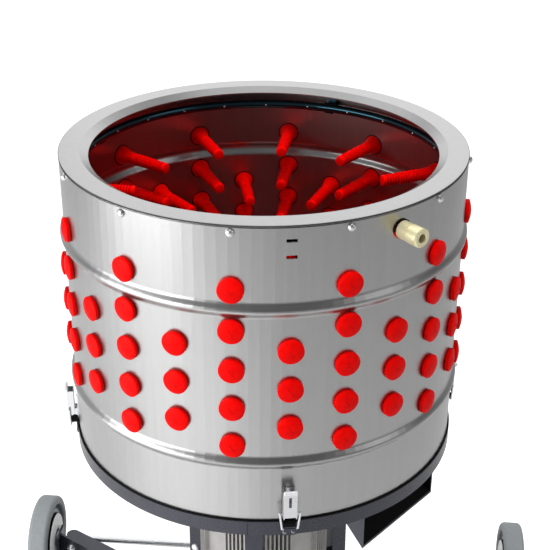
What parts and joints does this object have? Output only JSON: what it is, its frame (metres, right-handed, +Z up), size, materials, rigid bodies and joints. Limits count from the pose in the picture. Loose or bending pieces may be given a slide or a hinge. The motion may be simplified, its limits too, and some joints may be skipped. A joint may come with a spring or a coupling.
{
  "type": "poultry plucker",
  "caption": "Drum plucker: a stainless drum lined with rubber fingers over a driven finger plate, on a motor stand with a chute, draw latches and transport wheels.",
  "frame": {"origin": "on the floor under the drum axis", "axes": "+Z up along the drum axis, the front post and a latch towards -Y, the wheel axles along X"},
  "size_m": [0.8306, 0.544, 0.875],
  "materials": {
    "stainless_sheet": "satin rolled sheet",
    "zinc_steel": "bright zinc",
    "chrome": "polished",
    "spray_tube": "gloss",
    "brass": "turned",
    "red_rubber": "satin moulded",
    "black_rubber": "matte",
    "slate_powder_coat": "satin powder coat",
    "cast_aluminium": "cast",
    "dark_plastic": "matte",
    "grey_tyre": "matte",
    "grey_plastic": "satin"
  },
  "bodies": {
    "root": {"drum_shell": "stainless_sheet", "rim_ring": "stainless_sheet", "rim_screws": "zinc_steel", "latch_bases": "zinc_steel", "latch_pins": "zinc_steel", "latch_rivets": "zinc_steel", "stand_bolts": "zinc_steel", "axles": "zinc_steel", "tie_rod": "chrome", "spray_ring": "spray_tube", "spray_clips": "spray_tube", "water_nipple": "brass", "nipple_nut": "brass", "bearing_bush": "brass", "fingers_front": "red_rubber", "fingers_right": "red_rubber", "fingers_back": "red_rubber", "fingers_left": "red_rubber", "nipple_seal": "red_rubber", "drum_seal": "black_rubber", "front_foot": "black_rubber", "cable_gland": "black_rubber", "base_ring": "slate_powder_coat", "base_tray": "slate_powder_coat", "chute": "slate_powder_coat", "latch_catches": "slate_powder_coat", "post_front": "slate_powder_coat", "post_right": "slate_powder_coat", "post_left": "slate_powder_coat", "arm_front": "slate_powder_coat", "arm_right": "slate_powder_coat", "arm_left": "slate_powder_coat", "arm_hub": "slate_powder_coat", "bracket_right": "slate_powder_coat", "bracket_left": "slate_powder_coat", "motor_stays": "slate_powder_coat", "motor_barrel": "cast_aluminium", "motor_flange": "cast_aluminium", "bearing_housing": "cast_aluminium", "fan_cowl": "dark_plastic", "terminal_box": "dark_plastic"},
    "spinner": {"drive_shaft": "zinc_steel", "plate_hub": "cast_aluminium", "finger_plate": "stainless_sheet", "plate_fingers": "red_rubber", "plate_paddles": "slate_powder_coat", "hub_cap": "stainless_sheet", "hub_bolts": "zinc_steel"},
    "wheel_right": {"tyre_right": "grey_tyre", "wheel_hub_right": "grey_plastic"},
    "wheel_left": {"tyre_left": "grey_tyre", "wheel_hub_left": "grey_plastic"},
    "lever_1": {"latch_lever_1": "zinc_steel"},
    "bail_1": {"latch_bail_1": "zinc_steel"},
    "lever_2": {"latch_lever_2": "zinc_steel"},
    "bail_2": {"latch_bail_2": "zinc_steel"},
    "lever_3": {"latch_lever_3": "zinc_steel"},
    "bail_3": {"latch_bail_3": "zinc_steel"},
    "lever_4": {"latch_lever_4": "zinc_steel"},
    "bail_4": {"latch_bail_4": "zinc_steel"}
  },
  "joints": [
    {"name": "plate_spin", "type": "hinge", "parent": "root", "child": "spinner", "pos_m": [0, 0, 0.5], "axis": [0, 0, 1], "continuous": true},
    {"name": "wheel_right_spin", "type": "hinge", "parent": "root", "child": "wheel_right", "pos_m": [0.39098, 0.202, 0.07], "axis": [1, 0, 0], "continuous": true},
    {"name": "wheel_left_spin", "type": "hinge", "parent": "root", "child": "wheel_left", "pos_m": [-0.39098, 0.202, 0.07], "axis": [1, 0, 0], "continuous": true},
    {"name": "latch_1_lever", "type": "hinge", "parent": "root", "child": "lever_1", "pos_m": [0.05539, -0.25403, 0.5055], "axis": [0.977, 0.213, 0], "range_deg": [0, 100]},
    {"name": "latch_1_bail", "type": "hinge", "parent": "lever_1", "child": "bail_1", "pos_m": [0.05581, -0.25599, 0.5105], "axis": [0.977, 0.213, 0], "range_deg": [-100, 0]},
    {"name": "latch_2_lever", "type": "hinge", "parent": "root", "child": "lever_2", "pos_m": [0.25403, 0.05539, 0.5055], "axis": [-0.213, 0.977, 0], "range_deg": [0, 100]},
    {"name": "latch_2_bail", "type": "hinge", "parent": "lever_2", "child": "bail_2", "pos_m": [0.25599, 0.05581, 0.5105], "axis": [-0.213, 0.977, 0], "range_deg": [-100, 0]},
    {"name": "latch_3_lever", "type": "hinge", "parent": "root", "child": "lever_3", "pos_m": [-0.05539, 0.25403, 0.5055], "axis": [-0.977, -0.213, 0], "range_deg": [0, 100]},
    {"name": "latch_3_bail", "type": "hinge", "parent": "lever_3", "child": "bail_3", "pos_m": [-0.05581, 0.25599, 0.5105], "axis": [-0.977, -0.213, 0], "range_deg": [-100, 0]},
    {"name": "latch_4_lever", "type": "hinge", "parent": "root", "child": "lever_4", "pos_m": [-0.25403, -0.05539, 0.5055], "axis": [0.213, -0.977, 0], "range_deg": [0, 100]},
    {"name": "latch_4_bail", "type": "hinge", "parent": "lever_4", "child": "bail_4", "pos_m": [-0.25599, -0.05581, 0.5105], "axis": [0.213, -0.977, 0], "range_deg": [-100, 0]}
  ],
  "couplings": [
    {"joint": "latch_1_bail", "follows": "latch_1_lever", "ratio": -1},
    {"joint": "latch_2_bail", "follows": "latch_2_lever", "ratio": -1},
    {"joint": "latch_3_bail", "follows": "latch_3_lever", "ratio": -1},
    {"joint": "latch_4_bail", "follows": "latch_4_lever", "ratio": -1}
  ]
}
